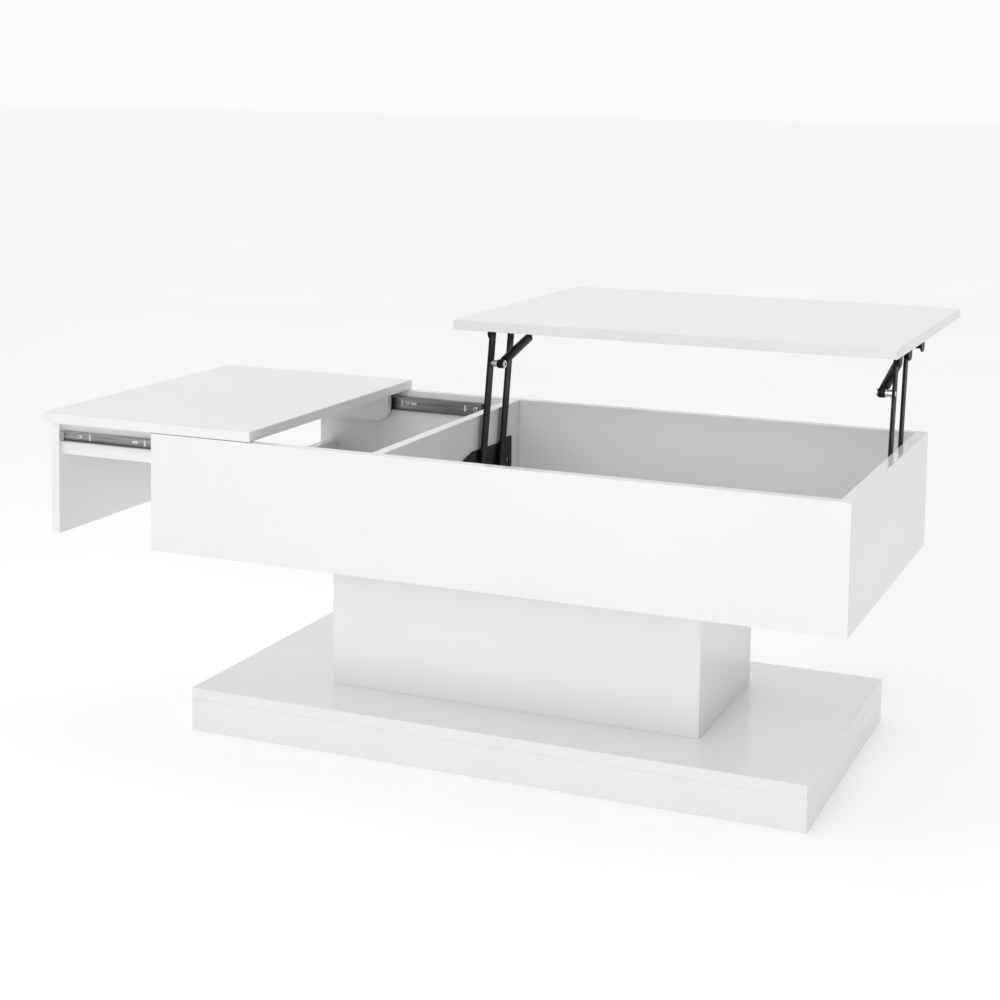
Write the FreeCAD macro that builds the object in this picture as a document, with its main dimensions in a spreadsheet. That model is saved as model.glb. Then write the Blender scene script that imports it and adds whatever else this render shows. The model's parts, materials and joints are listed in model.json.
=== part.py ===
"""Lift top coffee table: a plinth, a pedestal and a storage box under two top boards.

The left top board slides out on ball-bearing slides, together with its end panel. The right
top board is a lid on two pairs of parallel arms, which lift it up and over to the back.
The table is modelled with the lid raised and the sliding board pulled out.

Frame: +X along the table's length, +Y to its back, +Z up. The origin is on the floor, at the
centre of the plinth. All sizes are in millimetres and degrees.
"""
import FreeCAD, Part
import math
import os
import re
import Sketcher

doc = FreeCAD.newDocument("lift_top_coffee_table")
sheet = doc.addObject("Spreadsheet::Sheet", "dims")

# ---------------------------------------------------------------------------------------------
# Driving sizes: name, value, meaning
# ---------------------------------------------------------------------------------------------
SIZES = (
    ("box_length", 1100, "storage box, outer length"),
    ("box_depth", 576, "storage box, outer depth"),
    ("box_height", 186, "storage box panels, from their lower edge to their upper edge"),
    ("board", 18, "thickness of the carcass boards"),
    ("edge_ease", 0.8, "rounding of the lacquered boards' edges"),
    ("fit_gap", 0.5, "gap between wooden parts that move past each other"),
    ("base_length", 990, "plinth, outer length"),
    ("base_depth", 514, "plinth, outer depth"),
    ("skirt_height", 51, "plinth skirt under its top board"),
    ("pedestal_length", 608, "pedestal, outer length"),
    ("pedestal_depth", 286, "pedestal, outer depth"),
    ("pedestal_height", 222, "pedestal between plinth and box"),
    ("cleat", 25, "square section of the pedestal's inner cleats"),
    ("top_board", 16, "thickness of the lid and of the sliding board"),
    ("top_gap", 1, "gap between the box panels and the top boards"),
    ("sliding_length", 382, "length of the sliding board"),
    ("meeting_gap", 2, "gap between lid and sliding board when both are shut"),
    ("slide_travel", 205, "travel of the sliding board"),
    ("divider_lap", 10, "how far the lid's end stands over the divider"),
    ("rail_height", 67, "height of the low cross rail at the box's open end"),
    ("rail_round", 14, "rounding of the cross rail's upper corners"),
    ("end_board", 15, "thickness of the sliding end panel and of the slide strips"),
    ("end_recess", 3, "end panel's face behind the sliding board's edge"),
    ("end_gap", 2, "gap between the end panel and the box panels beside it"),
    ("end_lift", 3, "end panel's lower edge above the box's lower edge"),
    ("strip_height", 55, "height of the slide strips under the sliding board"),
    ("strip_length", 337, "length of the slide strips"),
    ("strip_round", 24, "rounding of the strips' lower inner corner"),
    ("cam_radius", 7.5, "radius of the cam locks in the strips"),
    ("cam_depth", 12, "depth of the cam locks"),
    ("cam_recess", 0.6, "depth of the cam locks' face below the wood"),
    ("cam_first", 30, "first cam lock from the strips' end at the end panel"),
    ("cam_last", 40, "last cam lock from the strips' free end"),
    ("cam_drop", 14, "cam locks' centres below the sliding board"),
    ("cam_slot_long", 9, "length of the cam locks' screwdriver slots"),
    ("cam_slot_wide", 1.6, "width of the cam locks' screwdriver slots"),
    ("cam_slot_deep", 2, "depth of the cam locks' screwdriver slots"),
    ("slide_length", 300, "length of a slide member"),
    ("slide_high", 25, "height of the outer slide member"),
    ("slide_deep", 12.5, "thickness of the whole slide"),
    ("slide_wall", 1.2, "sheet thickness of the slide members"),
    ("slide_drop", 11, "top of the slide below the box panels' upper edge"),
    ("slide_inset", 20, "outer slide member's end from the box's open end"),
    ("slide_lip_gap", 2, "gap between the strips and the outer slide members' lips"),
    ("slide_inner_gap", 4, "gap between the panels and the inner slide members' lips"),
    ("slide_hole", 3, "radius of the outer slide members' screw holes"),
    ("outer_screw_in", 25, "outer slide members' end screws from their ends"),
    ("outer_slot_in", 45, "outer slide members' end slots from their ends"),
    ("outer_slot_off", 11.5, "outer slide members' middle slots from their middle screw"),
    ("inner_screw_in", 32, "inner slide members' end screws from their ends"),
    ("inner_slot_in", 50, "inner slide members' end slots from their ends"),
    ("inner_level_in", 164, "inner slide members' level slot from their free end"),
    ("inner_screw_off", 40, "inner slide members' middle screw beyond their middle"),
    ("inner_slot_out", 146, "inner slide members' second upright slot from their free end"),
    ("slot_wide", 11.5, "longer side of the slots punched in the slides"),
    ("slot_narrow", 4.5, "shorter side of the slots punched in the slides"),
    ("slide_inner_high", 16.4, "height of the inner slide member"),
    ("slide_tail", 15, "outer slide members beyond the shut inner ones"),
    ("bumper", 10, "length of the black bumpers in the outer slide members"),
    ("bumper_deep", 7.5, "thickness of the bumpers and of the inner members' end blocks"),
    ("end_block", 10, "length of the inner slide members' end blocks"),
    ("end_block_out", 2, "how far the end blocks stand out of the inner slide members"),
    ("cage_length", 84, "length of the ball cages"),
    ("cage_high", 20.6, "height of the ball cages"),
    ("cage_wall", 0.6, "sheet thickness of the ball cages"),
    ("cage_deep", 5, "depth of the ball cages' channel"),
    ("slide_gutter", 1.7, "gap between the ball cages and the outer members, for screw heads"),
    ("ball_radius", 1.25, "radius of the slide balls"),
    ("ball_step", 18, "spacing of the slide balls"),
    ("ball_margin", 3, "first slide ball from the ball cage's end"),
    ("ball_deep", 2, "slide balls from the ball cages' open edges"),
    ("sheet_metal", 2.5, "sheet thickness of the lift brackets"),
    ("arm_length", 272, "lift arms, pivot to pivot"),
    ("arm_lean", 9.4, "raised arms' lean past upright, in degrees"),
    ("arm_wide", 20, "width of the lift arms"),
    ("arm_deep", 4, "thickness of the lift arms"),
    ("arm_off", 5, "lift arms' distance from the panel"),
    ("arm_spacing", 81, "distance between near and far pivots"),
    ("pivot_back", 185, "near base pivots before the back panel's inner face"),
    ("pivot_rise", 36.05, "base pivots above the box's floor"),
    ("pivot_drop", 18, "top pivots below the lid's underside"),
    ("pivot_radius", 4, "radius of the pivot rivets"),
    ("pivot_clear", 0.3, "radial clearance of the pivots"),
    ("rivet_head", 6.5, "radius of the rivet heads"),
    ("rivet_cap", 2, "height of the rivet heads"),
    ("bracket_length", 205, "base bracket, length at its upper edge"),
    ("bracket_tip", 30, "base brackets' front end, cut back at its lower corner"),
    ("bracket_step", 4.5, "base brackets' middle below their upper edge"),
    ("bracket_ear", 44, "length of the base brackets' raised back end"),
    ("bracket_high", 103, "height of the base brackets"),
    ("bracket_sink", 27, "base brackets' lower edge below their pivots"),
    ("bracket_lead", 60, "base brackets' front end before the near pivot"),
    ("bracket_fall", 8, "base brackets' front end, drop of its upper edge"),
    ("bracket_fall_long", 40, "base brackets' front end, length of that drop"),
    ("bracket_nose", 51, "base brackets' front end, height of its lower corner"),
    ("bracket_slope", 10, "length of the base brackets' slope up to their raised back end"),
    ("bracket_round", 4, "rounding of the base brackets' corners"),
    ("bracket_in", 16, "holes at the base brackets' ends, from the end"),
    ("front_hole_drop", 17, "base brackets' open front hole below their upper edge"),
    ("front_screw_drop", 35, "base brackets' front screw below their upper edge"),
    ("back_hole_drop", 40, "base brackets' open back hole below their upper edge"),
    ("back_screw_drop", 62, "base brackets' back screw below their upper edge"),
    ("mid_screw_drop", 46, "base brackets' middle screw below their upper edge"),
    ("ear_hole", 5, "radius of the open holes at the base brackets' ends"),
    ("slot_long", 26, "length of the brackets' slots between their end centres"),
    ("slot_radius", 3.6, "half the width of the brackets' slots"),
    ("stop_gap", 0.4, "gap between the raised far arms and their stops"),
    ("stop_wide", 4, "thickness of the stops"),
    ("stop_high", 14, "height of the stops"),
    ("stop_rise", 40, "stops above the base pivots"),
    ("ear_lead", 8, "lid brackets' front end before the near pivot"),
    ("ear_half", 12, "half the width of the lid brackets' three ears"),
    ("ear_slope", 8, "length of the slopes beside the lid brackets' ears"),
    ("flange_high", 29, "height of the lid brackets at their ears"),
    ("flange_web", 7, "height of the lid brackets between their ears"),
    ("flange_wide", 34, "width of the lid brackets' upper flange"),
    ("lid_screw_in", 21, "lid bracket screws from the brackets' side plate"),
    ("lid_screw_end", 22, "lid brackets' end screws from the brackets' ends"),
    ("flange_off", 0.5, "lid brackets' distance from the panel"),
    ("flange_round", 9, "rounding of the lid brackets' corners"),
    ("strut_arm", 220, "strut bolts from the near arms' base pivots"),
    ("strut_reach", 195, "strut studs behind the near top pivots"),
    ("strut_drop", 2, "strut studs below the top pivots"),
    ("strut_off", 26, "strut axes from the panel"),
    ("strut_radius", 7.5, "radius of the strut cylinders"),
    ("strut_wall", 1.2, "wall of the strut cylinders"),
    ("strut_start", 15, "strut cylinders' closed end from their bolts"),
    ("strut_end_wall", 3, "thickness of the strut cylinders' closed end"),
    ("neck_radius", 4.4, "radius of the neck between eye and cylinder"),
    ("strut_length", 127, "strut cylinders' far end from their bolts"),
    ("strut_cap", 8, "length of the strut cylinders' guides"),
    ("rod_radius", 3.5, "radius of the strut rods"),
    ("rod_tail", 132, "strut rods' inner end from their sockets' centres"),
    ("piston_long", 8, "length of the pistons"),
    ("socket_radius", 7.5, "radius of the strut ends"),
    ("socket_deep", 10, "thickness of the strut ends"),
    ("stud_radius", 5, "radius of the strut studs"),
    ("spacer_wall", 2, "strut bolts' spacers beyond their shanks"),
    ("bolt_cap", 3, "height of the strut bolts' heads"),
    ("screw_radius", 2, "radius of the wood screws"),
    ("screw_long", 13, "length of the wood screws in the wood"),
    ("screw_head", 4.2, "radius of the wood screws' heads"),
    ("screw_cap", 1.8, "height of the wood screws' heads"),
    ("screw_flat", 1.2, "height of the slide screws' low heads"),
    ("screw_clear", 0.2, "radial clearance of the screw holes in sheet metal"),
    ("overcut", 1, "how far a cutter runs past the faces that it cuts"),
)
SIZE_NAMES = {name for name, value, meaning in SIZES}
for row, (name, value, meaning) in enumerate(SIZES, 1):
    sheet.set(f"A{row}", name)
    sheet.set(f"B{row}", str(value))
    sheet.setAlias(f"B{row}", name)
    sheet.set(f"C{row}", meaning)
doc.recompute()

# Places worked out from the driving sizes
DERIVED = {
    "base_top": "skirt_height + board",
    "box_low": "base_top + pedestal_height",
    "box_high": "box_low + box_height",
    "box_floor": "box_low + board",
    "tops_low": "box_high + top_gap",
    "half_length": "box_length / 2",
    "half_depth": "box_depth / 2",
    "inner_depth": "box_depth - 2 * board",
    "end_shut": "sliding_left_shut + end_recess",
    "sliding_left_shut": "-half_length",
    "open_end": "end_shut + end_board + fit_gap",
    "lid_left": "-half_length + sliding_length + meeting_gap",
    "divider_right": "lid_left + divider_lap",
    "well_left": "divider_right",
    "well_right": "half_length - board",
    "well_middle": "(well_left + well_right) / 2",
    "arm_shut": "asin((tops_low - pivot_drop - box_floor - pivot_rise) / arm_length)",
    "lid_back": "arm_length * (cos(arm_shut) + sin(arm_lean))",
    "lid_rise": "arm_length * (cos(arm_lean) - sin(arm_shut))",
    "lid_low": "tops_low + lid_rise",
    "slide_low": "box_high - slide_drop - slide_high",
    "strip_face": "half_depth - board - slide_deep",
    "outer_length": "slide_length + slide_tail",
    "flange_length": "ear_lead + strut_reach + ear_half",
    "pivot_y": "half_depth - board - pivot_back",
    "pivot_z": "box_floor + pivot_rise",
    "top_pivot_y": "pivot_y + arm_length * sin(arm_lean)",
    "top_pivot_z": "pivot_z + arm_length * cos(arm_lean)",
    "bolt_y": "pivot_y + strut_arm * sin(arm_lean)",
    "bolt_z": "pivot_z + strut_arm * cos(arm_lean)",
    "stud_y": "top_pivot_y + strut_reach",
    "stud_z": "top_pivot_z - strut_drop",
    "strut_angle": "atan((stud_z - bolt_z) / (stud_y - bolt_y))",
}


def formula(text):
    """Spell out each size and derived name of a formula as an expression on the sheet."""
    def swap(match):
        word = match.group(0)
        if word in DERIVED:
            return "(" + formula(DERIVED[word]) + ")"
        return "dims." + word if word in SIZE_NAMES else word
    return re.sub(r"[a-z_]\w*", swap, str(text))


def bind(thing, **formulas):
    """Bind properties of an object to formulas, by property name."""
    for name, text in formulas.items():
        thing.setExpression(name, formula(text))


def place(thing, x=0, y=0, z=0, turn_x=None):
    """Bind an object's position, and its turn about the X axis in degrees."""
    for name, text in (("x", x), ("y", y), ("z", z)):
        thing.setExpression("Placement.Base." + name, formula(text))
    if turn_x is not None:
        thing.Placement.Rotation = FreeCAD.Rotation(FreeCAD.Vector(1, 0, 0), 10)
        thing.setExpression("Placement.Rotation.Angle", formula(turn_x))
    return thing


nodes = {}


def node(thing, label):
    """Name an object as a sub-part that is written to a file."""
    thing.Label = label
    nodes[label] = thing
    return thing


# ---------------------------------------------------------------------------------------------
# Sketches and solids
# ---------------------------------------------------------------------------------------------
PLANES = {"xy": "XY_Plane", "yz": "YZ_Plane"}
# An edge end this near to a face counts as lying on it
NEAR = 1


def add_sketch(body, plane, offset=None):
    """Add a sketch on one of the body's origin planes, with an optional offset along it."""
    sketch = body.newObject("Sketcher::SketchObject", body.Name + "_sketch")
    support = [f for f in body.Origin.OriginFeatures if f.Role == PLANES[plane]][0]
    sketch.AttachmentSupport = (support, [""])
    sketch.MapMode = "FlatFace"
    if offset is not None:
        sketch.setExpression("AttachmentOffset.Base.z", formula(offset))
    return sketch


def drive(sketch, text, *constraint):
    """Add a dimension to a sketch and bind it to a formula."""
    index = sketch.addConstraint(Sketcher.Constraint(*constraint, 10.0))
    sketch.setExpression(f"Constraints[{index}]", formula(text))


def outline(sketch, points):
    """Draw a closed outline of straight lines through points given as pairs of formulas."""
    spots = [FreeCAD.Vector(value_of(a), value_of(b), 0) for a, b in points]
    count = len(spots)
    for index in range(count):
        sketch.addGeometry(Part.LineSegment(spots[index], spots[(index + 1) % count]))
    for index in range(count):
        sketch.addConstraint(Sketcher.Constraint("Coincident", index, 2, (index + 1) % count, 1))
    for index, (across, up) in enumerate(points):
        for kind, text, axis in (("DistanceX", across, -2), ("DistanceY", up, -1)):
            if str(text) == "0":
                sketch.addConstraint(Sketcher.Constraint("PointOnObject", index, 1, axis))
            else:
                drive(sketch, text, kind, -1, 1, index, 1)


def slot(sketch, across, up, length, radius):
    """Draw a slot whose first end centre is at (across, up), running along the sketch's X."""
    start = FreeCAD.Vector(value_of(across), value_of(up), 0)
    run = FreeCAD.Vector(value_of(length), 0, 0)
    rise = FreeCAD.Vector(0, value_of(radius), 0)
    first = sketch.GeometryCount
    normal = FreeCAD.Vector(0, 0, 1)
    quarter = math.pi / 2
    sketch.addGeometry(Part.LineSegment(start + rise, start + run + rise))
    sketch.addGeometry(Part.LineSegment(start - rise, start + run - rise))
    sketch.addGeometry(Part.ArcOfCircle(Part.Circle(start, normal, rise.Length), quarter, 3 * quarter))
    sketch.addGeometry(Part.ArcOfCircle(Part.Circle(start + run, normal, rise.Length), -quarter, quarter))
    upper, lower, near_end, far_end = range(first, first + 4)
    sketch.addConstraint([
        Sketcher.Constraint("Tangent", upper, 1, near_end, 1),
        Sketcher.Constraint("Tangent", near_end, 2, lower, 1),
        Sketcher.Constraint("Tangent", lower, 2, far_end, 1),
        Sketcher.Constraint("Tangent", far_end, 2, upper, 2),
        Sketcher.Constraint("Horizontal", upper),
        Sketcher.Constraint("Horizontal", lower),
    ])
    drive(sketch, radius, "Radius", near_end)
    drive(sketch, length, "DistanceX", near_end, 3, far_end, 3)
    centre(sketch, near_end, across, up)


def centre(sketch, curve, across, up):
    """Bind the centre of a circle or arc to a pair of formulas."""
    for kind, text, axis in (("DistanceX", across, -2), ("DistanceY", up, -1)):
        if str(text) == "0":
            sketch.addConstraint(Sketcher.Constraint("PointOnObject", curve, 3, axis))
        else:
            drive(sketch, text, kind, -1, 1, curve, 3)


def circle(sketch, across, up, radius):
    """Draw a circle whose centre and radius are formulas."""
    spot = FreeCAD.Vector(value_of(across), value_of(up), 0)
    curve = sketch.addGeometry(Part.Circle(spot, FreeCAD.Vector(0, 0, 1), value_of(radius)))
    drive(sketch, radius, "Radius", curve)
    centre(sketch, curve, across, up)


def value_of(text):
    """Present value of a formula, for a sketch's first guess."""
    result = sheet.evalExpression(formula(text))
    return float(getattr(result, "Value", result))


def pad(body, sketch, length):
    """Pad a sketch along its normal by a formula."""
    feature = body.newObject("PartDesign::Pad", body.Name + "_pad")
    feature.Profile = sketch
    bind(feature, Length=length)
    doc.recompute()
    return feature


def pocket(body, sketch, depth):
    """Pocket a sketch against its normal by a formula, and check that it cut something."""
    before = body.Shape.Volume
    feature = body.newObject("PartDesign::Pocket", body.Name + "_pocket")
    feature.Profile = sketch
    bind(feature, Length=depth)
    doc.recompute()
    if body.Shape.Volume >= before:
        raise RuntimeError(body.Name + ": a pocket cut nothing")
    return feature


def round_edges(body, chosen, radius):
    """Round the edges of the body's tip that the test picks."""
    tip = body.Tip
    names = [f"Edge{i}" for i, edge in enumerate(tip.Shape.Edges, 1) if chosen(edge)]
    feature = body.newObject("PartDesign::Fillet", body.Name + "_round")
    feature.Base = (tip, names)
    bind(feature, Radius=radius)
    doc.recompute()
    return feature


def board(label, size, corner):
    """A lacquered board with eased edges: its three sizes and its lowest corner as formulas."""
    body = doc.addObject("PartDesign::Body", label)
    sketch = add_sketch(body, "xy")
    outline(sketch, ((0, 0), (size[0], 0), (size[0], size[1]), (0, size[1])))
    pad(body, sketch, size[2])
    round_edges(body, lambda edge: True, "edge_ease")
    place(body, *corner)
    return node(body, label)


def block(name, size, corner):
    """A plain block: its three sizes and its lowest corner as formulas."""
    solid = doc.addObject("Part::Box", name)
    bind(solid, Length=size[0], Width=size[1], Height=size[2])
    return place(solid, *corner)


ALONG = {
    "x": FreeCAD.Rotation(FreeCAD.Vector(0, 1, 0), 90),
    "y": FreeCAD.Rotation(FreeCAD.Vector(1, 0, 0), -90),
    "z": FreeCAD.Rotation(),
}


def rod(name, axis, radius, length, start):
    """A round bar along an axis, from a start point given as formulas."""
    solid = doc.addObject("Part::Cylinder", name)
    bind(solid, Radius=radius, Height=length)
    solid.Placement.Rotation = ALONG[axis]
    return place(solid, *start)


def fuse(name, *solids):
    """One solid made of several that overlap or touch."""
    whole = doc.addObject("Part::MultiFuse", name)
    whole.Shapes = list(solids)
    whole.Refine = True
    return whole


def cut(name, solid, *tools):
    """A solid with other solids cut out of it."""
    for index, tool in enumerate(tools):
        step = doc.addObject("Part::Cut", f"{name}_{index}")
        step.Base = solid
        step.Tool = tool
        solid = step
    return solid


def group(label, *solids):
    """Separate solids that share one node."""
    whole = doc.addObject("Part::Compound", label)
    whole.Links = list(solids)
    return node(whole, label)


def mirror(name, solid, axis, at=0):
    """A mirror image of a solid in the plane across an axis at a formula."""
    image = doc.addObject("Part::Mirroring", name)
    image.Source = solid
    image.Normal = FreeCAD.Vector(axis == "x", axis == "y", 0)
    image.setExpression("Base." + axis, formula(at))
    return image


def both_sides(label, solid):
    """Name a left-hand part of the lift mechanism and its right-hand mirror image."""
    node(solid, label + "_left")
    node(mirror(label + "_mirror", solid, "x", "well_middle"), label + "_right")


def front_and_back(label, solids):
    """Group solids at the back with their images at the front in one node."""
    back = doc.addObject("Part::Compound", label + "_back_side")
    back.Links = solids
    group(label, back, mirror(label + "_front_side", back, "y"))


def both_faces(label, solid):
    """Name a back part of the slides and its mirror image at the front."""
    node(solid, label + "_back")
    node(mirror(label + "_mirror", solid, "y"), label + "_front")


# ---------------------------------------------------------------------------------------------
# Plinth, pedestal and box
# ---------------------------------------------------------------------------------------------
def make_plinth():
    """Top board on four skirts and one lengthwise brace."""
    board("base_board", ("base_length", "base_depth", "board"),
          ("-base_length / 2", "-base_depth / 2", "skirt_height"))
    for label, back in (("base_skirt_front", "-base_depth / 2"),
                        ("base_skirt_back", "base_depth / 2 - board")):
        board(label, ("base_length", "board", "skirt_height"), ("-base_length / 2", back, 0))
    for label, left in (("base_skirt_left", "-base_length / 2"),
                        ("base_skirt_right", "base_length / 2 - board")):
        board(label, ("board", "base_depth - 2 * board", "skirt_height"),
              (left, "-base_depth / 2 + board", 0))
    board("base_brace", ("base_length - 2 * board", "board", "skirt_height"),
          ("-base_length / 2 + board", "-board / 2", 0))


def make_pedestal():
    """Four panels, the long ones over the ends of the short ones, and cleats inside."""
    for label, back in (("pedestal_front", "-pedestal_depth / 2"),
                        ("pedestal_back", "pedestal_depth / 2 - board")):
        board(label, ("pedestal_length", "board", "pedestal_height"),
              ("-pedestal_length / 2", back, "base_top"))
    for label, left in (("pedestal_left", "-pedestal_length / 2"),
                        ("pedestal_right", "pedestal_length / 2 - board")):
        board(label, ("board", "pedestal_depth - 2 * board", "pedestal_height"),
              (left, "-pedestal_depth / 2 + board", "base_top"))
    cleats = []
    for level, low in (("low", "base_top"), ("high", "box_low - cleat")):
        for face, back in (("front", "-pedestal_depth / 2 + board"),
                           ("back", "pedestal_depth / 2 - board - cleat")):
            cleats.append(block(f"cleat_{level}_{face}",
                                ("pedestal_length - 2 * board", "cleat", "cleat"),
                                ("-pedestal_length / 2 + board", back, low)))
    group("pedestal_cleats", *cleats)


def make_box():
    """Front and back panels over the ends of the right panel, with a floor, a divider and a rail."""
    for label, back in (("box_front", "-half_depth"), ("box_back", "half_depth - board")):
        board(label, ("box_length", "board", "box_height"), ("-half_length", back, "box_low"))
    board("box_right", ("board", "inner_depth", "box_height"),
          ("half_length - board", "-half_depth + board", "box_low"))
    board("box_floor", ("half_length - board - open_end", "inner_depth", "board"),
          ("open_end", "-half_depth + board", "box_low"))
    board("box_divider", ("board", "inner_depth", "box_height - board"),
          ("divider_right - board", "-half_depth + board", "box_floor"))
    rail = doc.addObject("PartDesign::Body", "box_cross_rail")
    sketch = add_sketch(rail, "yz")
    outline(sketch, ((0, 0), ("inner_depth", 0), ("inner_depth", "rail_height"), (0, "rail_height")))
    pad(rail, sketch, "board")
    top = value_of("rail_height")
    round_edges(rail, lambda edge: min(v.Z for v in edge.Vertexes) > top - NEAR
                and abs(edge.Vertexes[0].X - edge.Vertexes[1].X) > NEAR, "rail_round")
    place(rail, "open_end", "-half_depth + board", "box_floor")
    node(rail, "box_cross_rail")


# ---------------------------------------------------------------------------------------------
# Sliding top
# ---------------------------------------------------------------------------------------------
def wood_screw(name, axis, sign, spot, cap_high="screw_cap"):
    """A pan-head screw along an axis, its head's underside at the spot, pointing by the sign."""
    x, y, z = spot
    deep = {"x": 0, "y": 1, "z": 2}[axis]
    tip = [x, y, z]
    cap = [x, y, z]
    if sign < 0:
        tip[deep] = f"{spot[deep]} - screw_long"
    else:
        cap[deep] = f"{spot[deep]} - {cap_high}"
    shank = rod(name + "_shank", axis, "screw_radius", "screw_long", tip)
    head = rod(name + "_head", axis, "screw_head", cap_high, cap)
    return fuse(name, shank, head)


# Screws and punched slots along the outer and inner slide members, from their left ends
OUTER_SCREWS = ("outer_screw_in", "outer_length / 2", "outer_length - outer_screw_in")
OUTER_UPRIGHT = ("outer_slot_in", "outer_length / 2 - outer_slot_off", "outer_length - outer_slot_in")
OUTER_LEVEL = ("outer_length / 2 + outer_slot_off",)
INNER_SCREWS = ("inner_screw_in", "slide_length / 2 + inner_screw_off", "slide_length - inner_screw_in")
INNER_UPRIGHT = ("inner_slot_in", "slide_length - inner_slot_out", "slide_length - inner_slot_in")
INNER_LEVEL = ("slide_length - inner_level_in",)


def punched(name, left, y, middle, upright, level):
    """Tools for the upright and level slots punched through a slide member's web."""
    tools = []
    for shape, places, across, up in (("upright", upright, "slot_narrow", "slot_wide"),
                                      ("level", level, "slot_wide", "slot_narrow")):
        for index, along in enumerate(places):
            tools.append(block(f"{name}_{shape}_{index}", (across, "slide_deep / 2", up),
                               (f"{left} + {along} - {across} / 2", y, f"{middle} - {up} / 2")))
    return tools


def make_slides():
    """The back slide: outer member, ball cage and inner member, and their images at the front."""
    wall_y = "half_depth - board"
    out_left = "-half_length + slide_inset"
    in_left = out_left + " - slide_travel"
    mid_z = "slide_low + slide_high / 2"

    shell = block("outer_block", ("outer_length", "slide_deep - slide_lip_gap", "slide_high"),
                  (out_left, wall_y + " - slide_deep + slide_lip_gap", "slide_low"))
    hollow = block("outer_hollow", ("outer_length + 2 * overcut", "slide_deep - slide_lip_gap",
                                    "slide_high - 2 * slide_wall"),
                   (out_left + " - overcut", wall_y + " - slide_deep + slide_lip_gap - slide_wall",
                    "slide_low + slide_wall"))
    holes = [rod(f"outer_hole_{i}", "y", "slide_hole", "slide_deep",
                 (f"{out_left} + {along}", wall_y + " - slide_deep / 2", mid_z))
             for i, along in enumerate(OUTER_SCREWS)]
    outer_slots = punched("outer_slot", out_left, wall_y + " - slide_deep / 2", mid_z,
                          OUTER_UPRIGHT, OUTER_LEVEL)
    both_faces("slide_outer", cut("outer", shell, hollow, *holes, *outer_slots))

    core = block("inner_block", ("slide_length", "slide_deep - slide_inner_gap", "slide_inner_high"),
                 (in_left, "strip_face", f"{mid_z} - slide_inner_high / 2"))
    core_hollow = block("inner_hollow", ("slide_length + 2 * overcut", "slide_deep - slide_inner_gap",
                                         "slide_inner_high - 2 * slide_wall"),
                        (in_left + " - overcut", "strip_face + slide_wall",
                         f"{mid_z} - slide_inner_high / 2 + slide_wall"))
    core_holes = [rod(f"inner_hole_{i}", "y", "screw_radius + screw_clear", "slide_deep / 2",
                      (f"{in_left} + {along}", "strip_face - slide_wall", mid_z))
                  for i, along in enumerate(INNER_SCREWS)]
    inner_slots = punched("inner_slot", in_left, "strip_face - slide_wall", mid_z,
                          INNER_UPRIGHT, INNER_LEVEL)
    both_faces("slide_inner", cut("inner", core, core_hollow, *core_holes, *inner_slots))

    cage_left = out_left + " - slide_travel / 2 + (slide_length - cage_length) / 2"
    cage_y = wall_y + " - slide_wall - slide_gutter - cage_deep"
    cage = block("cage_block", ("cage_length", "cage_deep", "cage_high"),
                 (cage_left, cage_y, f"{mid_z} - cage_high / 2"))
    cage_hollow = block("cage_hollow", ("cage_length + 2 * overcut", "cage_deep",
                                        "cage_high - 2 * cage_wall"),
                        (cage_left + " - overcut", cage_y + " - cage_wall",
                         f"{mid_z} - cage_high / 2 + cage_wall"))
    balls = []
    count = int(value_of("(cage_length - 2 * ball_margin) / ball_step")) + 1
    for index in range(count):
        for side, sign in (("low", "-"), ("high", "+")):
            ball = doc.addObject("Part::Sphere", f"ball_{side}_{index}")
            bind(ball, Radius="ball_radius")
            place(ball, f"{cage_left} + ball_margin + {index} * ball_step", cage_y + " + ball_deep",
                  f"{mid_z} {sign} (cage_high / 2 - cage_wall / 2)")
            balls.append(ball)
    both_faces("ball_cage", fuse("cage", cut("cage_strip", cage, cage_hollow), *balls))

    for label, left, places, sign, face in (
            ("slide_outer_screws", out_left, OUTER_SCREWS, 1, wall_y + " - slide_wall"),
            ("slide_inner_screws", in_left, INNER_SCREWS, -1, "strip_face + slide_wall")):
        front_and_back(label, [wood_screw(f"{label}_{i}", "y", sign, (f"{left} + {along}", face, mid_z),
                                          "screw_flat") for i, along in enumerate(places)])
    stop = block("slide_end", ("end_block", "bumper_deep", "slide_inner_high - 2 * slide_wall"),
                 (f"{in_left} + slide_length - end_block + end_block_out", "strip_face + slide_wall",
                  f"{mid_z} - slide_inner_high / 2 + slide_wall"))
    bumper = block("slide_bumper", ("bumper", "bumper_deep", "slide_high - 2 * slide_wall"),
                   (f"{out_left} + outer_length - bumper", wall_y + " - slide_wall - bumper_deep",
                    "slide_low + slide_wall"))
    front_and_back("slide_end_blocks", [stop])
    front_and_back("slide_bumpers", [bumper])


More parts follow.
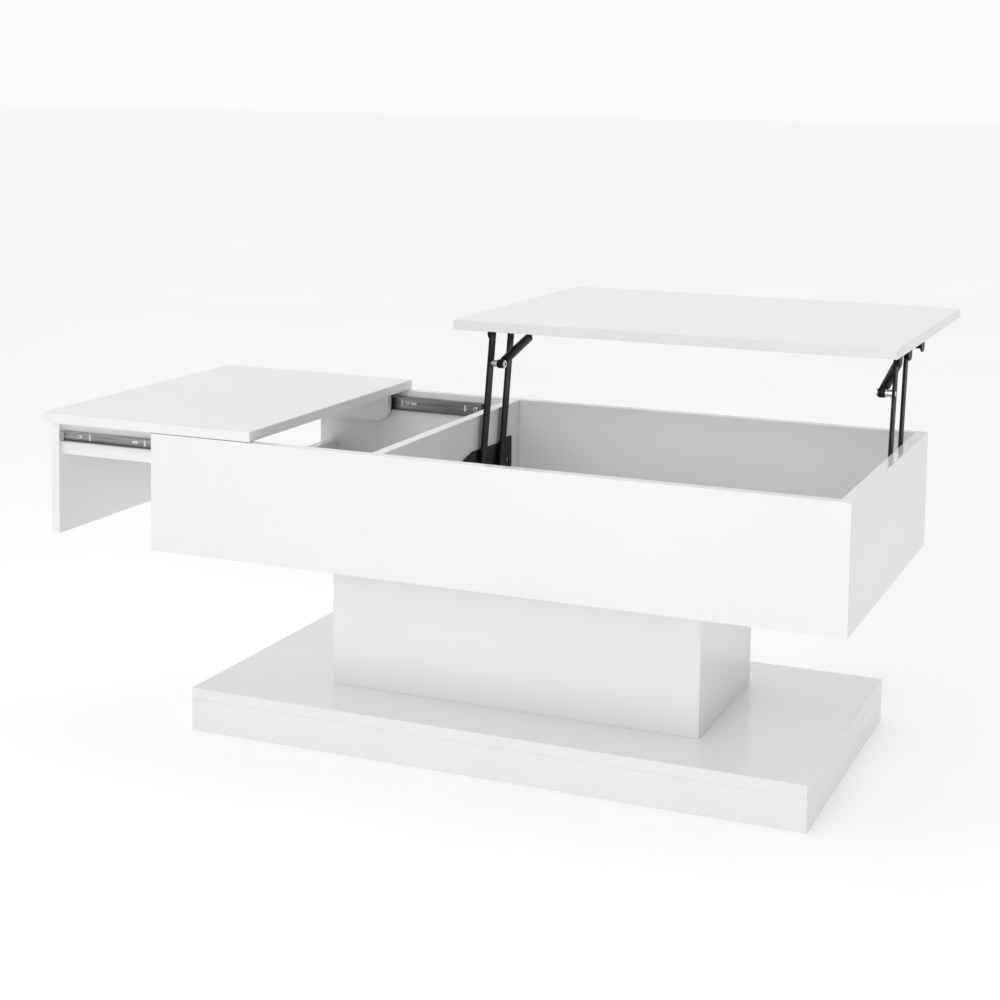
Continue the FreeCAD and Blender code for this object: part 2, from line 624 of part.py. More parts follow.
def make_sliding_top():
    """The sliding board with its end panel and the two strips that carry the inner slides."""
    left = "-half_length - slide_travel"
    board("sliding_board", ("sliding_length", "box_depth", "top_board"), (left, "-half_depth", "tops_low"))
    board("sliding_end_panel",
          ("end_board", "inner_depth - 2 * end_gap", "tops_low - box_low - end_lift"),
          (f"{left} + end_recess", "-half_depth + board + end_gap", "box_low + end_lift"))
    strip_left = f"{left} + end_recess + end_board"
    strip = doc.addObject("PartDesign::Body", "strip")
    sketch = add_sketch(strip, "xy")
    outline(sketch, ((0, 0), ("strip_length", 0), ("strip_length", "end_board"), (0, "end_board")))
    pad(strip, sketch, "strip_height")
    far = value_of("strip_length")
    round_edges(strip, lambda edge: min(v.X for v in edge.Vertexes) > far - NEAR
                and max(v.Z for v in edge.Vertexes) < NEAR
                and abs(edge.Vertexes[0].Y - edge.Vertexes[1].Y) > NEAR, "strip_round")
    place(strip, strip_left, "strip_face - end_board", "tops_low - strip_height")
    cam_y = "strip_face - end_board"
    cams = []
    bores = []
    for index, along in enumerate(("cam_first", "strip_length / 2", "strip_length - cam_last")):
        spot = (f"{strip_left} + {along}", cam_y, "tops_low - cam_drop")
        bores.append(rod(f"cam_bore_{index}", "y", "cam_radius", "cam_depth", spot))
        housing = rod(f"cam_{index}", "y", "cam_radius", "cam_depth - cam_recess",
                      (spot[0], cam_y + " + cam_recess", spot[2]))
        drive_slot = block(f"cam_slot_{index}", ("cam_slot_long", "cam_slot_deep", "cam_slot_wide"),
                           (f"{spot[0]} - cam_slot_long / 2", cam_y, f"{spot[2]} - cam_slot_wide / 2"))
        cams.append(cut(f"cam_lock_{index}", housing, drive_slot))
    both_faces("slide_strip", cut("strip_bored", strip, *bores))
    front_and_back("cam_locks", cams)


# ---------------------------------------------------------------------------------------------
# Lid and its lift mechanism: the left-hand side, and its image at the right
# ---------------------------------------------------------------------------------------------
def make_lid():
    """The lid board, raised."""
    board("lid_board", ("half_length - lid_left", "box_depth", "top_board"),
          ("lid_left", "-half_depth + lid_back", "lid_low"))


# Screws in a base bracket: along it and up it, from its lower front corner
BRACKET_SCREWS = (
    ("bracket_in", "bracket_high - front_screw_drop"),
    ("bracket_length - bracket_in", "bracket_high - back_screw_drop"),
    ("bracket_length / 2", "bracket_high - mid_screw_drop"),
)
# Open holes in a base bracket's ends, for a second row of screws
EAR_HOLES = (
    ("bracket_in", "bracket_high - front_hole_drop"),
    ("bracket_length - bracket_in", "bracket_high - back_hole_drop"),
)
LID_SCREW_COUNT = 4


def make_base_brackets():
    """Slotted plates on the well's end walls, each with a stop for the raised far arm."""
    plate = doc.addObject("PartDesign::Body", "plate")
    sketch = add_sketch(plate, "yz")
    outline(sketch, (
        ("bracket_tip", 0),
        ("bracket_length", 0),
        ("bracket_length", "bracket_high"),
        ("bracket_length - bracket_ear", "bracket_high"),
        ("bracket_length - bracket_ear - bracket_slope", "bracket_high - bracket_step"),
        ("bracket_fall_long", "bracket_high"),
        (0, "bracket_high - bracket_fall"),
        (0, "bracket_nose"),
    ))
    pad(plate, sketch, "sheet_metal")
    round_edges(plate, lambda edge: abs(edge.Vertexes[0].X - edge.Vertexes[1].X) > NEAR, "bracket_round")
    slots = add_sketch(plate, "yz", "sheet_metal")
    slot(slots, "bracket_lead + (arm_spacing - slot_long) / 2", "bracket_sink",
         "slot_long", "slot_radius")
    for along, up in EAR_HOLES:
        circle(slots, along, up, "ear_hole")
    for along, up in BRACKET_SCREWS:
        circle(slots, along, up, "screw_radius + screw_clear")
    pocket(plate, slots, "sheet_metal")
    place(plate, "well_left", "pivot_y - bracket_lead", "pivot_z - bracket_sink")
    lean = "(stop_rise * tan(arm_lean) + arm_wide / 2 / cos(arm_lean) + stop_gap)"
    stop = block("stop", ("arm_off + arm_deep - sheet_metal", "stop_wide", "stop_high"),
                 ("well_left + sheet_metal", f"pivot_y + arm_spacing + {lean} + stop_high * tan(arm_lean)",
                  "pivot_z + stop_rise"))
    both_sides("lift_bracket", fuse("bracket", plate, stop))

    screws = []
    for i, (along, up) in enumerate(BRACKET_SCREWS):
        screws.append(wood_screw(f"bracket_screw_{i}", "x", -1,
                                 ("well_left + sheet_metal", f"pivot_y - bracket_lead + {along}",
                                  f"pivot_z - bracket_sink + {up}")))
    paired("lift_bracket_screws", screws)


def paired(label, solids):
    """Group left-hand solids with their right-hand images in one node."""
    left = doc.addObject("Part::Compound", label + "_left_side")
    left.Links = solids
    group(label, left, mirror(label + "_right_side", left, "x", "well_middle"))


def make_arm(name, start_y, extra_hole=None):
    """A flat bar with round ends, from its base pivot up to its top pivot."""
    arm = doc.addObject("PartDesign::Body", name)
    outer = add_sketch(arm, "yz")
    slot(outer, 0, 0, "arm_length", "arm_wide / 2")
    pad(arm, outer, "arm_deep")
    holes = add_sketch(arm, "yz", "arm_deep")
    circle(holes, 0, 0, "pivot_radius + pivot_clear")
    circle(holes, "arm_length", 0, "pivot_radius + pivot_clear")
    if extra_hole is not None:
        circle(holes, extra_hole, 0, "pivot_radius")
    pocket(arm, holes, "arm_deep")
    return place(arm, "well_left + arm_off", start_y, "pivot_z", turn_x="90 - arm_lean")


def rivet(name, y, z, start):
    """A pivot rivet from a distance off the panel, through an arm to its head."""
    head_at = "well_left + arm_off + arm_deep + pivot_clear"
    shank = rod(name + "_shank", "x", "pivot_radius", f"arm_off + arm_deep + pivot_clear - {start}",
                (f"well_left + {start}", y, z))
    head = rod(name + "_head", "x", "rivet_head", "rivet_cap", (head_at, y, z))
    return fuse(name, shank, head)


def make_arms():
    """Near and far arms with their rivets, and the bolts that carry the struts."""
    both_sides("near_arm", make_arm("near_arm", "pivot_y", "strut_arm"))
    both_sides("far_arm", make_arm("far_arm", "pivot_y + arm_spacing"))
    paired("base_pivots", [rivet("near_base_rivet", "pivot_y", "pivot_z", "sheet_metal"),
                           rivet("far_base_rivet", "pivot_y + arm_spacing", "pivot_z", "sheet_metal")])
    flange_face = "(flange_off + sheet_metal)"
    paired("lid_pivots", [rivet("near_top_rivet", "top_pivot_y", "top_pivot_z", flange_face),
                          rivet("far_top_rivet", "top_pivot_y + arm_spacing", "top_pivot_z", flange_face)])
    shank = rod("bolt_shank", "x", "pivot_radius", "strut_off + socket_deep / 2 + pivot_clear - arm_off",
                ("well_left + arm_off", "bolt_y", "bolt_z"))
    spacer = rod("bolt_spacer", "x", "pivot_radius + spacer_wall",
                 "strut_off - socket_deep / 2 - pivot_clear - arm_off - arm_deep",
                 ("well_left + arm_off + arm_deep", "bolt_y", "bolt_z"))
    head = rod("bolt_head", "x", "rivet_head", "bolt_cap",
               ("well_left + strut_off + socket_deep / 2 + pivot_clear", "bolt_y", "bolt_z"))
    paired("strut_bolts", [fuse("strut_bolt", shank, spacer, head)])


def make_lid_brackets():
    """Angle brackets under the lid, their screws, and the studs that the struts push on."""
    side = doc.addObject("PartDesign::Body", "flange_side")
    sketch = add_sketch(side, "yz")
    lower = []
    for middle, first, last in (("ear_lead", True, False), ("ear_lead + arm_spacing", False, False),
                                ("ear_lead + strut_reach", False, True)):
        if not first:
            lower.append((f"{middle} - ear_half - ear_slope", "flange_high - flange_web"))
        lower.append((0 if first else f"{middle} - ear_half", 0))
        lower.append((f"{middle} + ear_half", 0))
        if not last:
            lower.append((f"{middle} + ear_half + ear_slope", "flange_high - flange_web"))
    outline(sketch, (*lower, ("flange_length", "flange_high"), (0, "flange_high")))
    pad(side, sketch, "sheet_metal")
    round_edges(side, lambda edge: max(v.Z for v in edge.Vertexes) < NEAR
                and abs(edge.Vertexes[0].X - edge.Vertexes[1].X) > NEAR, "flange_round")
    start_y = "top_pivot_y - ear_lead"
    place(side, "well_left + flange_off", start_y, "lid_low - flange_high")
    upper = doc.addObject("PartDesign::Body", "flange_upper")
    sketch = add_sketch(upper, "xy")
    outline(sketch, ((0, 0), ("flange_wide", 0), ("flange_wide", "flange_length"), (0, "flange_length")))
    pad(upper, sketch, "sheet_metal")
    holes = add_sketch(upper, "xy", "sheet_metal")
    steps = LID_SCREW_COUNT - 1
    places = [f"lid_screw_end + {i} * (flange_length - 2 * lid_screw_end) / {steps}"
              for i in range(LID_SCREW_COUNT)]
    for along in places:
        circle(holes, "lid_screw_in", along, "screw_radius + screw_clear")
    pocket(upper, holes, "sheet_metal")
    outer_edge = value_of("flange_wide") - NEAR
    round_edges(upper, lambda edge: len(edge.Vertexes) == 2
                and min(v.X for v in edge.Vertexes) > outer_edge
                and abs(edge.Vertexes[0].Z - edge.Vertexes[1].Z) > NEAR, "flange_round")
    place(upper, "well_left + flange_off", start_y, "lid_low - sheet_metal")
    both_sides("lid_bracket", fuse("lid_angle", side, upper))

    screws = []
    for index, along in enumerate(places):
        screws.append(wood_screw(f"lid_screw_{index}", "z", 1,
                                 ("well_left + flange_off + lid_screw_in",
                                  f"{start_y} + {along}", "lid_low - sheet_metal")))
    paired("lid_bracket_screws", screws)
    stud_face = "flange_off + sheet_metal"
    stud = rod("stud", "x", "stud_radius", f"strut_off - socket_deep / 2 - pivot_clear - ({stud_face})",
               (f"well_left + {stud_face}", "stud_y", "stud_z"))
    paired("strut_studs", [stud])


def make_struts():
    """Gas struts: a cylinder on each near arm's bolt and a rod to each lid bracket's stud."""
    along = "sqrt((stud_y - bolt_y)^2 + (stud_z - bolt_z)^2)"
    eye = rod("eye", "x", "socket_radius", "socket_deep", ("-socket_deep / 2", 0, 0))
    neck = rod("neck", "y", "neck_radius", "strut_start", (0, 0, 0))
    tube = rod("tube", "y", "strut_radius", "strut_length - strut_start + strut_end_wall",
               (0, "strut_start - strut_end_wall", 0))
    bolt_hole = rod("bolt_hole", "x", "pivot_radius + pivot_clear", "4 * strut_radius",
                    ("-2 * strut_radius", 0, 0))
    room = rod("room", "y", "strut_radius - strut_wall", "strut_length - strut_cap - strut_start",
               (0, "strut_start", 0))
    guide = rod("guide", "y", "rod_radius + pivot_clear", "strut_cap + 2 * overcut",
                (0, "strut_length - strut_cap - overcut", 0))
    body = cut("strut_body", fuse("strut_shell", eye, neck, tube), bolt_hole, room, guide)
    both_sides("strut_cylinder", place(body, "well_left + strut_off", "bolt_y", "bolt_z",
                                       turn_x="strut_angle"))

    socket = rod("socket", "x", "socket_radius", "socket_deep", ("-socket_deep / 2", along, 0))
    bar = rod("bar", "y", "rod_radius", "rod_tail", (0, f"{along} - rod_tail", 0))
    piston = rod("piston", "y", "strut_radius - strut_wall - pivot_clear", "piston_long",
                 (0, f"{along} - rod_tail", 0))
    whole = fuse("strut_rod", socket, bar, piston)
    both_sides("strut_rod", place(whole, "well_left + strut_off", "bolt_y", "bolt_z",
                                  turn_x="strut_angle"))


for make in (make_plinth, make_pedestal, make_box, make_slides, make_sliding_top, make_lid,
             make_base_brackets, make_arms, make_lid_brackets, make_struts):
    make()
doc.recompute()

# ---------------------------------------------------------------------------------------------
# Checks, then one STEP file for each sub-part
# ---------------------------------------------------------------------------------------------
for thing in doc.Objects:
    if "Invalid" in thing.State or "Error" in thing.State:
        raise RuntimeError(f"{thing.Name}: {thing.State}")
for label, thing in nodes.items():
    if thing.Shape.isNull() or not thing.Shape.isValid() or not thing.Shape.Solids:
        raise RuntimeError(f"{label}: no valid solid")

os.makedirs("parts", exist_ok=True)
for label, thing in nodes.items():
    thing.Shape.exportStep(f"parts/{label}.step")
    print(f"{label:24s} {len(thing.Shape.Solids):3d} solids {thing.Shape.Volume / 1000:10.1f} cm3")
print(len(nodes), "nodes")
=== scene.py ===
"""Visual model of a lift top coffee table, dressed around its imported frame.

The lacquered boards, brackets and arms keep their CAD shapes and get their finishes here. The
fasteners, cam locks, rivets, bolts and gas struts are replaced by finer turned and pressed
pieces. All lengths are in metres, in the frame's own axes.
"""
import json
import logging
import math
from dataclasses import dataclass
from enum import Enum

import bmesh
import bpy
from mathutils import Matrix, Vector


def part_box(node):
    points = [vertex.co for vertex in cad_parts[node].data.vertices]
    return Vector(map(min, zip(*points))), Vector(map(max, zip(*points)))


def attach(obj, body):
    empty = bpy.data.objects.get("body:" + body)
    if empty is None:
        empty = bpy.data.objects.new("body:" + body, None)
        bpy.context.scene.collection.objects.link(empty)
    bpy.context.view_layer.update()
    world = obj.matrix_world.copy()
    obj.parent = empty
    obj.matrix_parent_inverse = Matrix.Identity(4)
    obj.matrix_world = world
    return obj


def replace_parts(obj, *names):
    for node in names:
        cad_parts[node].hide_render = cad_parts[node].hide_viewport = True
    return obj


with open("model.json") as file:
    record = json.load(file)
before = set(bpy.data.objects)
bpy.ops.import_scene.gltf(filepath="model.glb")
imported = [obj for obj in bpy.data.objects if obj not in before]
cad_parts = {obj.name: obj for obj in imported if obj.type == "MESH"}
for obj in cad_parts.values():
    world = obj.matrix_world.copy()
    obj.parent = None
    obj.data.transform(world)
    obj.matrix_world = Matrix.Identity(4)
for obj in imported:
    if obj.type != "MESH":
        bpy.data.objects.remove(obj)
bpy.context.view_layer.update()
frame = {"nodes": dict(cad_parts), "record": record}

LOG = logging.getLogger("coffee_table")
MM = 0.001
WHITE = (1.0, 1.0, 1.0, 1.0)
QUARTER_TURN = math.pi / 2
PATCH_DETAIL = 3.0
GRAIN_DETAIL = 2.0
FIRST_TONE_TO = 0.35
SECOND_TONE_FROM = 0.65
DULLER_FROM = 0.3
DULLER_TO = 0.7
ISLAND_WELD = 0.001 * MM
SPIN_WELD = 0.002 * MM
SHANK_SHARE = 0.24
SLIDE_SCREW_HEAD = 1.2 * MM
BRACKET_SCREW_HEAD = 1.8 * MM


class Side(Enum):
    """The way a fastener's head faces."""

    LEFT = (-1.0, 0.0, 0.0)
    RIGHT = (1.0, 0.0, 0.0)
    FRONT = (0.0, -1.0, 0.0)
    BACK = (0.0, 1.0, 0.0)
    DOWN = (0.0, 0.0, -1.0)

    @property
    def vector(self) -> Vector:
        """The direction as a vector."""
        return Vector(self.value)


class Heads(Enum):
    """Where the heads of a node of screws look."""

    INTO_WELL = "to the middle of the well under the lid"
    INTO_BOX = "from the slides to the middle of the box"
    OUT_OF_BOX = "from the slides to the box panels"
    DOWN = "to the floor"


def linear(code: str) -> tuple[float, float, float, float]:
    """Turn an sRGB hex colour into linear light.

    Args:
        code: six hex digits, such as "F2F2F1".

    Returns:
        Red, green, blue and an alpha of 1.
    """
    parts = [int(code[i:i + 2], 16) / 255 for i in (0, 2, 4)]
    light = [p / 12.92 if p <= 0.04045 else ((p + 0.055) / 1.055) ** 2.4 for p in parts]
    return (light[0], light[1], light[2], 1.0)


def add_node(tree: bpy.types.NodeTree, kind: str, inputs: dict | None = None, **settings) -> bpy.types.Node:
    """Add a shader node with its settings, values and links.

    Args:
        tree: the node tree it goes in.
        kind: the node's type name.
        inputs: for each input, a value or the output socket that feeds it.
        **settings: the node's own properties.

    Returns:
        The new node.
    """
    node = tree.nodes.new(kind)
    for name, value in settings.items():
        setattr(node, name, value)
    for key, value in (inputs or {}).items():
        if isinstance(value, bpy.types.NodeSocket):
            tree.links.new(value, node.inputs[key])
        else:
            node.inputs[key].default_value = value
    return node


# ---------------------------------------------------------------------------------------------
# Finishes
# ---------------------------------------------------------------------------------------------
@dataclass(frozen=True)
class Finish:
    """A surface: two tones that mottle into each other, a grain in the gloss and one in the relief."""

    name: str
    tone: str
    second_tone: str
    patch_mm: float
    roughness: float
    roughness_spread: float
    grain_mm: float
    relief_mm: float
    metallic: float = 0.0
    ior: float = 1.5
    stretch: tuple[float, float, float] = (1.0, 1.0, 1.0)

    def material(self) -> bpy.types.Material:
        """Build the node material.

        Returns:
            The material, named for the real one.
        """
        material = bpy.data.materials.new(self.name)
        material.use_nodes = True
        tree = material.node_tree
        tree.nodes.clear()
        place = add_node(tree, "ShaderNodeTexCoord")
        stretched = add_node(tree, "ShaderNodeMapping", {"Vector": place.outputs["Object"],
                                                         "Scale": self.stretch})
        spot = stretched.outputs["Vector"]
        patches = add_node(tree, "ShaderNodeTexNoise", {"Vector": spot, "Scale": 1 / (self.patch_mm * MM),
                                                        "Detail": PATCH_DETAIL})
        grain = add_node(tree, "ShaderNodeTexNoise", {"Vector": spot, "Scale": 1 / (self.grain_mm * MM),
                                                      "Detail": GRAIN_DETAIL})
        mottle = add_node(tree, "ShaderNodeValToRGB", {"Fac": patches.outputs["Fac"]})
        first, second = mottle.color_ramp.elements
        first.position = FIRST_TONE_TO
        first.color = linear(self.tone)
        second.position = SECOND_TONE_FROM
        second.color = linear(self.second_tone)
        gloss = add_node(tree, "ShaderNodeMapRange", {"Value": patches.outputs["Fac"],
                                                      "From Min": DULLER_FROM, "From Max": DULLER_TO,
                                                      "To Min": self.roughness,
                                                      "To Max": self.roughness + self.roughness_spread})
        relief = add_node(tree, "ShaderNodeBump", {"Height": grain.outputs["Fac"], "Strength": 1.0,
                                                   "Distance": self.relief_mm * MM})
        shader = add_node(tree, "ShaderNodeBsdfPrincipled", {
            "Base Color": mottle.outputs["Color"],
            "Roughness": gloss.outputs["Result"],
            "Normal": relief.outputs["Normal"],
            "Metallic": self.metallic,
            "IOR": self.ior,
        })
        add_node(tree, "ShaderNodeOutputMaterial", {"Surface": shader.outputs["BSDF"]})
        return material


FINISHES = {
    # Polyester lacquer sprayed on fibreboard and polished: near-white, with blurred reflections
    # and the faint orange peel of a sprayed coat.
    "white_lacquer": Finish("polished_white_lacquer", "F5F5F5", "F3F3F3", 260, 0.12, 0.05, 5.0, 0.008),
    # Planed spruce battens: warm, with long fibres along the batten.
    "raw_board": Finish("planed_spruce", "C9A777", "B48C5A", 30, 0.55, 0.15, 1.2, 0.08,
                        stretch=(0.12, 1.6, 1.6)),
    # Cold-rolled strip, bright zinc plated: grey metal with rolling streaks along the slide.
    "zinc_steel": Finish("zinc_plated_strip", "A4A4A5", "838385", 9, 0.24, 0.14, 1.5, 0.010, metallic=1.0,
                         stretch=(0.10, 1.5, 1.5)),
    # Nickel-plated steel, turned or cold headed: bright metal with a soft sheen.
    "plated_fasteners": Finish("nickel_plated_steel", "EAEAE8", "D8D8D6", 4, 0.22, 0.10, 0.8, 0.004,
                               metallic=1.0),
    # Epoxy powder coat on pressed steel: black, satin, with a fine pebble.
    "black_powder_coat": Finish("black_powder_coat", "050505", "090909", 22, 0.45, 0.12, 1.1, 0.022,
                                ior=1.33),
    # Ground and chromed rod: a hard bright mirror.
    "polished_rod": Finish("chromed_rod", "E4E5E7", "D8DADC", 12, 0.05, 0.05, 0.9, 0.001, metallic=1.0),
    # Moulded nylon: black, with a dull skin.
    "black_plastic": Finish("moulded_black_nylon", "191919", "212121", 10, 0.45, 0.12, 0.7, 0.012),
    # Die-cast zinc: grey metal with the slight mottle of the die.
    "cam_zinc": Finish("die_cast_zinc", "A9ABAD", "8C8E90", 5, 0.30, 0.16, 0.8, 0.012, metallic=1.0),
}

# Backdrop paper: matt white with a faint tooth.
PAPER = Finish("white_paper_floor", "FDFDFD", "FBFBFB", 900, 0.7, 0.1, 3.0, 0.01)


class Palette:
    """Makes each finish once and gives it to CAD nodes and new pieces."""

    def __init__(self) -> None:
        """Build every finish's material."""
        self.materials = {slot: finish.material() for slot, finish in FINISHES.items()}

    def dress_frame(self) -> None:
        """Give each CAD node the finish of its material slot."""
        for part in frame["record"]["subparts"]:
            thing = frame["nodes"][part["node"]]
            if not thing.material_slots:
                thing.data.materials.append(None)
            for spot in thing.material_slots:
                spot.link = "OBJECT"
                spot.material = self.materials[part["material_slot"]]

    def dress(self, thing: bpy.types.Object, slot: str) -> None:
        """Give a new piece a finish.

        Args:
            thing: the piece.
            slot: the record's material slot.
        """
        thing.data.materials.append(self.materials[slot])


# ---------------------------------------------------------------------------------------------
# Mesh helpers
# ---------------------------------------------------------------------------------------------
def islands(node: str) -> list[tuple[Vector, Vector]]:
    """Boxes of the separate solids in a CAD node.

    Args:
        node: the CAD node's name.

    Returns:
        The lowest and highest corner of each solid, in order of position.
    """
    mesh = bmesh.new()
    mesh.from_mesh(frame["nodes"][node].data)
    bmesh.ops.remove_doubles(mesh, verts=mesh.verts, dist=ISLAND_WELD)
    waiting = set(mesh.verts)
    boxes = []
    while waiting:
        front = [waiting.pop()]
        found = []
        while front:
            vertex = front.pop()
            found.append(vertex.co.copy())
            for edge in vertex.link_edges:
                other = edge.other_vert(vertex)
                if other in waiting:
                    waiting.remove(other)
                    front.append(other)
        low = Vector([min(p[i] for p in found) for i in range(3)])
        high = Vector([max(p[i] for p in found) for i in range(3)])
        boxes.append((low, high))
    mesh.free()
    return sorted(boxes, key=lambda pair: tuple(round(c, 5) for c in pair[0]))


def turned(mesh: bmesh.types.BMesh, profile: list[tuple[float, float]], steps: int) -> None:
    """Spin a profile about the Z axis.

    Args:
        mesh: the empty mesh that takes the shape.
        profile: pairs of radius and height from one end of the axis to the other.
        steps: how many facets go round.
    """
    line = [mesh.verts.new((radius, 0.0, height)) for radius, height in profile]
    edges = [mesh.edges.new(pair) for pair in zip(line, line[1:])]
    bmesh.ops.spin(mesh, geom=line + edges, axis=(0, 0, 1), cent=(0, 0, 0), angle=2 * math.pi,
                   steps=steps, use_merge=True)
    bmesh.ops.remove_doubles(mesh, verts=mesh.verts, dist=SPIN_WELD)


def cross(arm: float, width: float, height: float) -> list[Vector]:
    """Outline of a cross recess.

    Args:
        arm: half the length of an arm's span.
        width: half the width of an arm.
        height: the rim's height.

    Returns:
        Twelve points in order.
    """
    quarter = [Vector((arm, -width, height)), Vector((arm, width, height)), Vector((width, width, height))]
    points = []
    for turn in range(4):
        spin = Matrix.Rotation(turn * QUARTER_TURN, 4, "Z")
        points += [spin @ point for point in quarter]
    return points


def polygon(sides: int, radius: float, height: float) -> list[Vector]:
    """Outline of a regular polygon recess.

    Args:
        sides: number of sides.
        radius: distance of its corners from the axis.
        height: the rim's height.

    Returns:
        The corners in order.
    """
    step = 2 * math.pi / sides
    return [Vector((radius * math.cos(i * step), radius * math.sin(i * step), height)) for i in range(sides)]


def capped(mesh: bmesh.types.BMesh, profile: list[tuple[float, float]], rim: list[Vector],
           depth: float, steps: int) -> None:
    """Turn a shape whose last profile point is an open ring, and close it with a recessed face.

    Args:
        mesh: the empty mesh that takes the shape.
        profile: pairs of radius and height, ending at the open ring.
        rim: the recess's outline, at the ring's height.
        depth: the recess's depth.
        steps: how many facets go round.
    """
    turned(mesh, profile, steps)
    open_ring = [edge for edge in mesh.edges if edge.is_boundary]
    corners = [mesh.verts.new(point) for point in rim]
    loop = [mesh.edges.new((corner, corners[i - 1])) for i, corner in enumerate(corners)]
    bmesh.ops.bridge_loops(mesh, edges=open_ring + loop)
    well = mesh.faces.new(corners)
    sunk = bmesh.ops.extrude_face_region(mesh, geom=[well])
    floor = [item for item in sunk["geom"] if isinstance(item, bmesh.types.BMVert)]
    bmesh.ops.translate(mesh, verts=floor, vec=(0, 0, -depth))
    if well.is_valid:
        bmesh.ops.delete(mesh, geom=[well], context="FACES_ONLY")


def add_placed(mesh: bmesh.types.BMesh, shape: object, spot: Vector, way: Vector) -> None:
    """Build a shape by itself, turn its +Z to a direction, put it at a spot and add it to a mesh.

    Args:
        mesh: the mesh that takes it.
        shape: anything with a build method.
        spot: where its local origin goes.
        way: where its local +Z goes.
    """
    own = bmesh.new()
    shape.build(own)
    turn = way.to_track_quat("Z", "Y").to_matrix().to_4x4()
    bmesh.ops.transform(own, matrix=Matrix.Translation(spot) @ turn, verts=own.verts)
    bmesh.ops.recalc_face_normals(own, faces=own.faces)
    holder = bpy.data.meshes.new("holder")
    own.to_mesh(holder)
    own.free()
    mesh.from_mesh(holder)
    bpy.data.meshes.remove(holder)


def finish_piece(name: str, mesh: bmesh.types.BMesh, body: str, slot: str, palette: Palette,
                 smooth_deg: float = 35.0) -> bpy.types.Object:
    """Turn a mesh into a piece with a finish that rides on a body.

    Args:
        name: the piece's name.
        mesh: the finished mesh, which is freed.
        body: the CAD body it rides on.
        slot: the record's material slot.
        palette: the finishes.
        smooth_deg: edges sharper than this stay sharp.

    Returns:
        The piece.
    """
    for face in mesh.faces:
        face.smooth = True
    for edge in mesh.edges:
        edge.smooth = len(edge.link_faces) == 2 and edge.calc_face_angle(0.0) < math.radians(smooth_deg)
    data = bpy.data.meshes.new(name)
    mesh.to_mesh(data)
    mesh.free()
    thing = bpy.data.objects.new(name, data)
    bpy.context.scene.collection.objects.link(thing)
    palette.dress(thing, slot)
    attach(thing, body)
    LOG.info("%s: %d faces on %s", name, len(data.polygons), body)
    return thing


# ---------------------------------------------------------------------------------------------
# Fasteners
# ---------------------------------------------------------------------------------------------
@dataclass
class PanHeadScrew:
    """A pan-head wood screw with a cross recess, along +Z with its head's underside at zero."""

    head_radius: float
    head_height: float
    shank_radius: float
    length: float
    flat_share: float = 0.62
    shoulder_share: float = 0.45
    recess_span: float = 0.78
    recess_width: float = 0.2
    recess_depth: float = 0.62
    bends: int = 4
    facets: int = 32

    def build(self, mesh: bmesh.types.BMesh) -> None:
        """Add the screw to a mesh.

        Args:
            mesh: the mesh that takes it.
        """
        flat = self.head_radius * self.flat_share
        shoulder = self.head_height * self.shoulder_share
        profile = [(0.0, -self.length), (self.shank_radius, -self.length + 2 * self.shank_radius),
                   (self.shank_radius, 0.0), (self.head_radius, 0.0), (self.head_radius, shoulder)]
        for step in range(1, self.bends + 1):
            angle = step / self.bends * QUARTER_TURN
            profile.append((flat + (self.head_radius - flat) * math.cos(angle),
                            shoulder + (self.head_height - shoulder) * math.sin(angle)))
        rim = cross(flat * self.recess_span, flat * self.recess_width, self.head_height)
        capped(mesh, profile, rim, self.head_height * self.recess_depth, self.facets)


@dataclass
class RivetHead:
    """A domed rivet along +Z: its foot at zero, its shank and a washer-like flange under the dome."""

    head_radius: float
    length: float
    shank_radius: float = 4 * MM
    head_height: float = 2 * MM
    flange_share: float = 0.3
    dome_foot: float = 0.42
    dome_radius: float = 0.8
    bends: int = 5
    facets: int = 36

    def build(self, mesh: bmesh.types.BMesh) -> None:
        """Add the rivet to a mesh.

        Args:
            mesh: the mesh that takes it.
        """
        base = self.length - self.head_height
        rise = self.head_height
        profile = [(0.0, 0.0), (self.shank_radius, 0.0), (self.shank_radius, base),
                   (self.head_radius, base), (self.head_radius, base + rise * self.flange_share)]
        inner = self.head_radius * self.dome_radius
        foot = base + rise * self.dome_foot
        dome = rise * (1 - self.dome_foot)
        profile.append((inner, foot))
        for step in range(1, self.bends + 1):
            angle = step / self.bends * QUARTER_TURN
            profile.append((inner * math.cos(angle), foot + dome * math.sin(angle)))
        turned(mesh, profile, self.facets)


